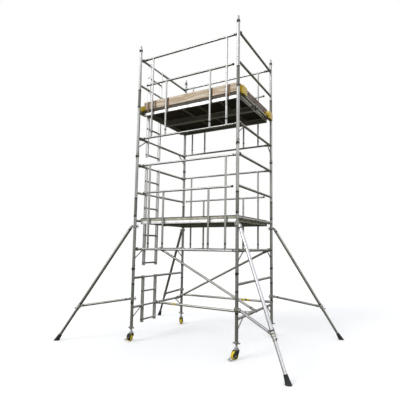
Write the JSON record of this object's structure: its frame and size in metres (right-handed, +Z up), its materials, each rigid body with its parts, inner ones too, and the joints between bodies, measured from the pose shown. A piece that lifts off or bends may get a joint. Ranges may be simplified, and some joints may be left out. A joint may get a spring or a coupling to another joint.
{
  "type": "mobile tower scaffold",
  "caption": "Aluminium access tower on swivelling castors, with ladder end frames, guardrail frames, two boarded levels, toeboards and outrigger stabilisers.",
  "frame": {"origin": "on the floor, midway between the four legs, at the bottom centre of the whole tower", "axes": "+Z up, X along the platforms with the ladder end at -X, Y across the platforms with its front side at -Y"},
  "size_m": [4.4419, 2.6908, 5.326],
  "materials": {
    "tube_aluminium": "mill finish drawn tube, dulled by use",
    "rail_aluminium": "brighter mill finish tube",
    "plywood": "phenolic faced birch plywood, dark brown",
    "pine_board": "sawn pale softwood",
    "yellow_plastic": "moulded, slightly glossy",
    "yellow_wheel": "moulded hub with a hard tread",
    "zinc_steel": "zinc plated",
    "fork_steel": "dark passivated pressing"
  },
  "bodies": {
    "tower": {"ladder_frame_base": "tube_aluminium", "ladder_frame_middle": "tube_aluminium", "ladder_frame_top": "tube_aluminium", "plain_frame_base": "tube_aluminium", "plain_frame_middle": "tube_aluminium", "plain_frame_top": "tube_aluminium", "guardrail_frame_front_middle": "rail_aluminium", "guardrail_frame_front_top": "rail_aluminium", "guardrail_frame_back_middle": "rail_aluminium", "guardrail_frame_back_top": "rail_aluminium", "horizontal_brace_back": "rail_aluminium", "horizontal_brace_middle": "rail_aluminium", "diagonal_brace_middle": "rail_aluminium", "diagonal_brace_back": "rail_aluminium", "trapdoor_platform_lower": "plywood", "plain_platform_lower": "plywood", "trapdoor_platform_upper": "plywood", "plain_platform_upper": "plywood", "toeboard_front": "pine_board", "toeboard_back": "pine_board", "toeboard_left": "pine_board", "toeboard_right": "pine_board", "toeboard_clip_front_left": "yellow_plastic", "toeboard_clip_back_left": "yellow_plastic", "toeboard_clip_front_right": "yellow_plastic", "toeboard_clip_back_right": "yellow_plastic"},
    "nut_front_left": {"adjuster_nut_front_left": "zinc_steel"},
    "leg_front_left": {"adjustable_leg_front_left": "zinc_steel"},
    "fork_front_left": {"castor_fork_front_left": "fork_steel"},
    "wheel_front_left": {"castor_wheel_front_left": "yellow_wheel"},
    "brake_front_left": {"brake_lever_front_left": "zinc_steel"},
    "stay_front_left": {"stabiliser_tube_front_left": "rail_aluminium", "stabiliser_arm_front_left": "rail_aluminium"},
    "stay_foot_front_left": {"stabiliser_foot_front_left": "rail_aluminium"},
    "nut_back_left": {"adjuster_nut_back_left": "zinc_steel"},
    "leg_back_left": {"adjustable_leg_back_left": "zinc_steel"},
    "fork_back_left": {"castor_fork_back_left": "fork_steel"},
    "wheel_back_left": {"castor_wheel_back_left": "yellow_wheel"},
    "brake_back_left": {"brake_lever_back_left": "zinc_steel"},
    "stay_back_left": {"stabiliser_tube_back_left": "rail_aluminium", "stabiliser_arm_back_left": "rail_aluminium"},
    "stay_foot_back_left": {"stabiliser_foot_back_left": "rail_aluminium"},
    "nut_front_right": {"adjuster_nut_front_right": "zinc_steel"},
    "leg_front_right": {"adjustable_leg_front_right": "zinc_steel"},
    "fork_front_right": {"castor_fork_front_right": "fork_steel"},
    "wheel_front_right": {"castor_wheel_front_right": "yellow_wheel"},
    "brake_front_right": {"brake_lever_front_right": "zinc_steel"},
    "stay_front_right": {"stabiliser_tube_front_right": "rail_aluminium", "stabiliser_arm_front_right": "rail_aluminium"},
    "stay_foot_front_right": {"stabiliser_foot_front_right": "rail_aluminium"},
    "nut_back_right": {"adjuster_nut_back_right": "zinc_steel"},
    "leg_back_right": {"adjustable_leg_back_right": "zinc_steel"},
    "fork_back_right": {"castor_fork_back_right": "fork_steel"},
    "wheel_back_right": {"castor_wheel_back_right": "yellow_wheel"},
    "brake_back_right": {"brake_lever_back_right": "zinc_steel"},
    "stay_back_right": {"stabiliser_tube_back_right": "rail_aluminium", "stabiliser_arm_back_right": "rail_aluminium"},
    "stay_foot_back_right": {"stabiliser_foot_back_right": "rail_aluminium"},
    "hatch_lower": {"trapdoor_lower": "plywood"},
    "hatch_upper": {"trapdoor_upper": "plywood"}
  },
  "joints": [
    {"name": "adjuster_nut_front_left_turn", "type": "hinge", "parent": "tower", "child": "nut_front_left", "pos_m": [-1, -0.75, 0.23], "axis": [0, 0, 1], "continuous": true},
    {"name": "adjustable_leg_front_left_extend", "type": "slide", "parent": "tower", "child": "leg_front_left", "axis": [0, 0, -1], "range_m": [0, 0.25]},
    {"name": "castor_front_left_swivel", "type": "hinge", "parent": "leg_front_left", "child": "fork_front_left", "pos_m": [-1, -0.75, 0.145], "axis": [0, 0, 1], "continuous": true},
    {"name": "castor_front_left_roll", "type": "hinge", "parent": "fork_front_left", "child": "wheel_front_left", "pos_m": [-1.03466, -0.74513, 0.0625], "axis": [-0.1392, -0.9903, 0], "continuous": true},
    {"name": "brake_front_left_release", "type": "hinge", "parent": "fork_front_left", "child": "brake_front_left", "pos_m": [-1.03466, -0.74513, 0.0625], "axis": [0.1392, 0.9903, 0], "range_deg": [0, 18]},
    {"name": "stabiliser_front_left_swing", "type": "hinge", "parent": "tower", "child": "stay_front_left", "pos_m": [-1, -0.75, 1.37], "axis": [0, 0, 1], "range_deg": [-35, 35]},
    {"name": "stabiliser_front_left_extend", "type": "slide", "parent": "stay_front_left", "child": "stay_foot_front_left", "axis": [-0.4817, -0.2246, -0.8471], "range_m": [0, 0.25]},
    {"name": "adjuster_nut_back_left_turn", "type": "hinge", "parent": "tower", "child": "nut_back_left", "pos_m": [-1, 0.75, 0.23], "axis": [0, 0, 1], "continuous": true},
    {"name": "adjustable_leg_back_left_extend", "type": "slide", "parent": "tower", "child": "leg_back_left", "axis": [0, 0, -1], "range_m": [0, 0.25]},
    {"name": "castor_back_left_swivel", "type": "hinge", "parent": "leg_back_left", "child": "fork_back_left", "pos_m": [-1, 0.75, 0.145], "axis": [0, 0, 1], "continuous": true},
    {"name": "castor_back_left_roll", "type": "hinge", "parent": "fork_back_left", "child": "wheel_back_left", "pos_m": [-1.01643, 0.7809, 0.0625], "axis": [-0.8829, -0.4695, 0], "continuous": true},
    {"name": "brake_back_left_release", "type": "hinge", "parent": "fork_back_left", "child": "brake_back_left", "pos_m": [-1.01643, 0.7809, 0.0625], "axis": [0.8829, 0.4695, 0], "range_deg": [0, 18]},
    {"name": "stabiliser_back_left_swing", "type": "hinge", "parent": "tower", "child": "stay_back_left", "pos_m": [-1, 0.75, 1.37], "axis": [0, 0, 1], "range_deg": [-35, 35]},
    {"name": "stabiliser_back_left_extend", "type": "slide", "parent": "stay_back_left", "child": "stay_foot_back_left", "axis": [-0.4201, 0.2329, -0.8771], "range_m": [0, 0.25]},
    {"name": "adjuster_nut_front_right_turn", "type": "hinge", "parent": "tower", "child": "nut_front_right", "pos_m": [1, -0.75, 0.23], "axis": [0, 0, 1], "continuous": true},
    {"name": "adjustable_leg_front_right_extend", "type": "slide", "parent": "tower", "child": "leg_front_right", "axis": [0, 0, -1], "range_m": [0, 0.25]},
    {"name": "castor_front_right_swivel", "type": "hinge", "parent": "leg_front_right", "child": "fork_front_right", "pos_m": [1, -0.75, 0.145], "axis": [0, 0, 1], "continuous": true},
    {"name": "castor_front_right_roll", "type": "hinge", "parent": "fork_front_right", "child": "wheel_front_right", "pos_m": [0.98689, -0.78245, 0.0625], "axis": [0.9272, -0.3746, 0], "continuous": true},
    {"name": "brake_front_right_release", "type": "hinge", "parent": "fork_front_right", "child": "brake_front_right", "pos_m": [0.98689, -0.78245, 0.0625], "axis": [-0.9272, 0.3746, 0], "range_deg": [0, 18]},
    {"name": "stabiliser_front_right_swing", "type": "hinge", "parent": "tower", "child": "stay_front_right", "pos_m": [1, -0.75, 1.37], "axis": [0, 0, 1], "range_deg": [-35, 35]},
    {"name": "stabiliser_front_right_extend", "type": "slide", "parent": "stay_front_right", "child": "stay_foot_front_right", "axis": [0.4058, -0.2343, -0.8834], "range_m": [0, 0.25]},
    {"name": "adjuster_nut_back_right_turn", "type": "hinge", "parent": "tower", "child": "nut_back_right", "pos_m": [1, 0.75, 0.23], "axis": [0, 0, 1], "continuous": true},
    {"name": "adjustable_leg_back_right_extend", "type": "slide", "parent": "tower", "child": "leg_back_right", "axis": [0, 0, -1], "range_m": [0, 0.25]},
    {"name": "castor_back_right_swivel", "type": "hinge", "parent": "leg_back_right", "child": "fork_back_right", "pos_m": [1, 0.75, 0.145], "axis": [0, 0, 1], "continuous": true},
    {"name": "castor_back_right_roll", "type": "hinge", "parent": "fork_back_right", "child": "wheel_back_right", "pos_m": [0.99878, 0.78498, 0.0625], "axis": [-0.9994, -0.0349, 0], "continuous": true},
    {"name": "brake_back_right_release", "type": "hinge", "parent": "fork_back_right", "child": "brake_back_right", "pos_m": [0.99878, 0.78498, 0.0625], "axis": [0.9994, 0.0349, 0], "range_deg": [0, 18]},
    {"name": "stabiliser_back_right_swing", "type": "hinge", "parent": "tower", "child": "stay_back_right", "pos_m": [1, 0.75, 1.37], "axis": [0, 0, 1], "range_deg": [-35, 35]},
    {"name": "stabiliser_back_right_extend", "type": "slide", "parent": "stay_back_right", "child": "stay_foot_back_right", "axis": [0.4872, 0.1583, -0.8588], "range_m": [0, 0.25]},
    {"name": "trapdoor_lower_open", "type": "hinge", "parent": "tower", "child": "hatch_lower", "pos_m": [-0.575, -0.5875, 2.1245], "axis": [1, 0, 0], "range_deg": [0, 90]},
    {"name": "trapdoor_upper_open", "type": "hinge", "parent": "tower", "child": "hatch_upper", "pos_m": [-0.575, -0.5875, 4.1245], "axis": [1, 0, 0], "range_deg": [0, 90]}
  ]
}
